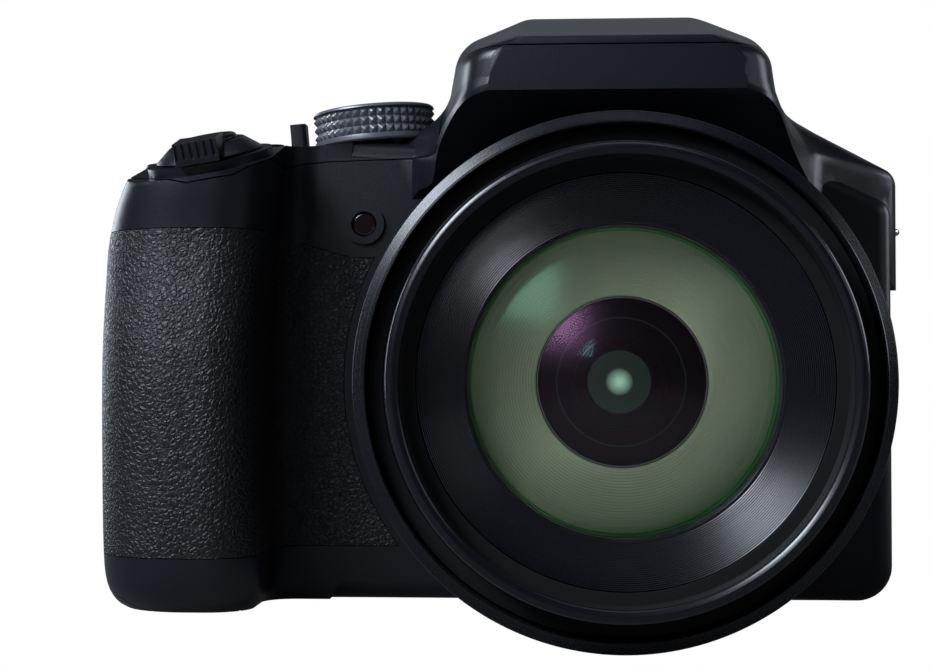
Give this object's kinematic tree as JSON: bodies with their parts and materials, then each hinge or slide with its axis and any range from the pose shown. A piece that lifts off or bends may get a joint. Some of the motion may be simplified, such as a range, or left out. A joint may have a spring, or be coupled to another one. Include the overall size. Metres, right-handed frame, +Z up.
{
  "type": "bridge camera",
  "caption": "Bridge camera with a deep grip, tilted top controls, telescoping zoom lens, hump with pop-up flash, eye-level viewfinder and rear screen.",
  "frame": {"origin": "mouth of the tripod socket in the middle of the base, under the lens axis", "axes": "+X to the right of someone facing the lens, the lens looks along -Y, +Z up"},
  "size_m": [0.1298, 0.1192, 0.0945],
  "materials": {
    "battery_shell": "matt",
    "board_green": "solder mask",
    "body_plastic": "satin black with a fine speckle",
    "bright_steel": "nickel plated",
    "coated_glass": "coated glass with green and purple reflections",
    "dial_grey": "dark grey with a knurled edge",
    "flash_diffuser": "ribbed and milky",
    "grip_rubber": "pebbled leather grain",
    "inner_metal": "plain",
    "inner_plastic": "matt black",
    "lamp_lens": "dark red",
    "lens_black": "satin black anodised",
    "name_ring_black": "fine turned grooves",
    "olive_baffle": "matt olive",
    "screen_glass": "dark glossy cover"
  },
  "bodies": {
    "root": {"front_cover": "body_plastic", "rear_cover": "body_plastic", "top_cover": "body_plastic", "base_plate": "lens_black", "case_screws": "bright_steel", "grip_rubber": "grip_rubber", "thumb_rest": "grip_rubber", "strap_lugs": "bright_steel", "assist_lamp": "lamp_lens", "fixed_barrel": "lens_black", "barrel_trim": "inner_plastic", "lens_base": "inner_plastic", "zoom_motor": "inner_metal", "image_sensor": "board_green", "inner_frame": "inner_metal", "main_board": "board_green", "battery": "battery_shell", "memory_card": "battery_shell", "lcd_panel": "inner_plastic", "lcd_window": "screen_glass", "viewfinder_unit": "inner_plastic", "eyepiece_lens": "coated_glass", "eyecup": "grip_rubber", "flash_pin": "bright_steel", "sockets": "inner_metal"},
    "outer_tube": {"zoom_tube_outer": "lens_black"},
    "inner_tube": {"zoom_tube_inner": "lens_black", "filter_ring": "lens_black", "name_ring": "name_ring_black", "front_element": "coated_glass", "lens_baffle": "olive_baffle", "second_element": "coated_glass", "iris_unit": "inner_plastic"},
    "cam": {"cam_ring": "inner_metal"},
    "gear": {"zoom_gear": "inner_plastic"},
    "focus": {"focus_lens": "coated_glass"},
    "flash": {"flash_head": "body_plastic", "flash_window": "flash_diffuser"},
    "door": {"battery_door": "body_plastic"},
    "latch": {"battery_latch": "dial_grey"},
    "side_door": {"terminal_door": "grip_rubber"},
    "diopter": {"diopter_dial": "inner_plastic"},
    "lever": {"zoom_lever": "body_plastic"},
    "release": {"shutter_button": "body_plastic"},
    "dial": {"mode_dial": "dial_grey"},
    "switch": {"power_switch": "body_plastic"},
    "wheel": {"rear_dial": "dial_grey"},
    "movie": {"movie_button": "body_plastic"},
    "drive": {"drive_button": "body_plastic"},
    "play_key": {"play_button": "body_plastic"},
    "display_key": {"display_button": "body_plastic"},
    "delete_key": {"delete_button": "body_plastic"},
    "lock_key": {"lock_button": "body_plastic"},
    "flash_key": {"flash_button": "body_plastic"},
    "lvf_key": {"lvf_button": "body_plastic"},
    "menu_key": {"menu_button": "body_plastic"},
    "cursor_up_key": {"cursor_up": "body_plastic"},
    "cursor_down_key": {"cursor_down": "body_plastic"},
    "cursor_left_key": {"cursor_left": "body_plastic"},
    "cursor_right_key": {"cursor_right": "body_plastic"}
  },
  "joints": [
    {"name": "zoom_outer", "type": "slide", "parent": "root", "child": "outer_tube", "axis": [0, -1, 0], "range_m": [0, 0.03]},
    {"name": "zoom_inner", "type": "slide", "parent": "outer_tube", "child": "inner_tube", "axis": [0, -1, 0], "range_m": [0, 0.028]},
    {"name": "zoom_cam", "type": "hinge", "parent": "root", "child": "cam", "pos_m": [0, 0, 0.0343], "axis": [0, -1, 0], "range_deg": [0, 110]},
    {"name": "zoom_pinion", "type": "hinge", "parent": "root", "child": "gear", "pos_m": [-0.03145, 0, 0.01963], "axis": [0, -1, 0], "range_deg": [-1202.5, 0]},
    {"name": "focus_slide", "type": "slide", "parent": "root", "child": "focus", "axis": [0, 1, 0], "range_m": [-0.004, 0.006]},
    {"name": "flash_hinge", "type": "hinge", "parent": "root", "child": "flash", "pos_m": [0, -0.01, 0.088], "axis": [-1, 0, 0], "range_deg": [0, 38], "stiffness_Nm_per_rad": 0.01, "springref_deg": 51.57},
    {"name": "battery_door_hinge", "type": "hinge", "parent": "root", "child": "door", "pos_m": [-0.0516, 0, 0.001], "axis": [0, -1, 0], "range_deg": [0, 95]},
    {"name": "battery_latch_slide", "type": "slide", "parent": "door", "child": "latch", "axis": [0, 1, 0], "range_m": [0, 0.003]},
    {"name": "terminal_door_hinge", "type": "hinge", "parent": "root", "child": "side_door", "pos_m": [-0.0788, 0.0064, 0], "axis": [0, 0, 1], "range_deg": [0, 100]},
    {"name": "diopter_turn", "type": "hinge", "parent": "root", "child": "diopter", "pos_m": [0.0175, 0, 0.079], "axis": [0, 1, 0], "range_deg": [-150, 150]},
    {"name": "zoom_lever_turn", "type": "hinge", "parent": "root", "child": "lever", "pos_m": [-0.0614, -0.031, 0.0676], "axis": [-0.158, -0.2539, 0.9542], "range_deg": [-20, 20], "stiffness_Nm_per_rad": 0.02},
    {"name": "shutter_press", "type": "slide", "parent": "root", "child": "release", "axis": [0.158, 0.2539, -0.9542], "range_m": [0, 0.001], "stiffness_N_per_m": 800},
    {"name": "mode_dial_turn", "type": "hinge", "parent": "root", "child": "dial", "pos_m": [-0.0384, -0.008, 0.0728], "axis": [-0.0871, -0.0174, 0.996], "continuous": true},
    {"name": "power_switch_slide", "type": "slide", "parent": "root", "child": "switch", "axis": [-0.0015, 0.9998, 0.0173], "range_m": [0, 0.005]},
    {"name": "rear_dial_turn", "type": "hinge", "parent": "root", "child": "wheel", "pos_m": [-0.0606, 0.0134, 0.058], "axis": [0, 0, 1], "continuous": true},
    {"name": "movie_press", "type": "slide", "parent": "root", "child": "movie", "axis": [0.0871, 0.0174, -0.996], "range_m": [0, 0.0007], "stiffness_N_per_m": 600},
    {"name": "drive_press", "type": "slide", "parent": "root", "child": "drive", "axis": [0.0871, 0.0174, -0.996], "range_m": [0, 0.0007], "stiffness_N_per_m": 600},
    {"name": "play_press", "type": "slide", "parent": "root", "child": "play_key", "axis": [0, -1, 0], "range_m": [0, 0.0007], "stiffness_N_per_m": 600},
    {"name": "display_press", "type": "slide", "parent": "root", "child": "display_key", "axis": [0, -1, 0], "range_m": [0, 0.0007], "stiffness_N_per_m": 600},
    {"name": "delete_press", "type": "slide", "parent": "root", "child": "delete_key", "axis": [0, -1, 0], "range_m": [0, 0.0007], "stiffness_N_per_m": 600},
    {"name": "lock_press", "type": "slide", "parent": "root", "child": "lock_key", "axis": [0, -1, 0], "range_m": [0, 0.0007], "stiffness_N_per_m": 600},
    {"name": "flash_press", "type": "slide", "parent": "root", "child": "flash_key", "axis": [0, -1, 0], "range_m": [0, 0.0007], "stiffness_N_per_m": 600},
    {"name": "lvf_press", "type": "slide", "parent": "root", "child": "lvf_key", "axis": [0, -1, 0], "range_m": [0, 0.0007], "stiffness_N_per_m": 600},
    {"name": "menu_press", "type": "slide", "parent": "root", "child": "menu_key", "axis": [0, -1, 0], "range_m": [0, 0.0007], "stiffness_N_per_m": 600},
    {"name": "cursor_up_press", "type": "slide", "parent": "root", "child": "cursor_up_key", "axis": [0, -1, 0], "range_m": [0, 0.0007], "stiffness_N_per_m": 600},
    {"name": "cursor_down_press", "type": "slide", "parent": "root", "child": "cursor_down_key", "axis": [0, -1, 0], "range_m": [0, 0.0007], "stiffness_N_per_m": 600},
    {"name": "cursor_left_press", "type": "slide", "parent": "root", "child": "cursor_left_key", "axis": [0, -1, 0], "range_m": [0, 0.0007], "stiffness_N_per_m": 600},
    {"name": "cursor_right_press", "type": "slide", "parent": "root", "child": "cursor_right_key", "axis": [0, -1, 0], "range_m": [0, 0.0007], "stiffness_N_per_m": 600}
  ],
  "couplings": [
    {"joint": "zoom_inner", "follows": "zoom_outer", "ratio": 0.93324},
    {"joint": "zoom_cam", "follows": "zoom_outer", "rad_per_m": 63.989},
    {"joint": "zoom_pinion", "follows": "zoom_outer", "rad_per_m": -699.02}
  ]
}
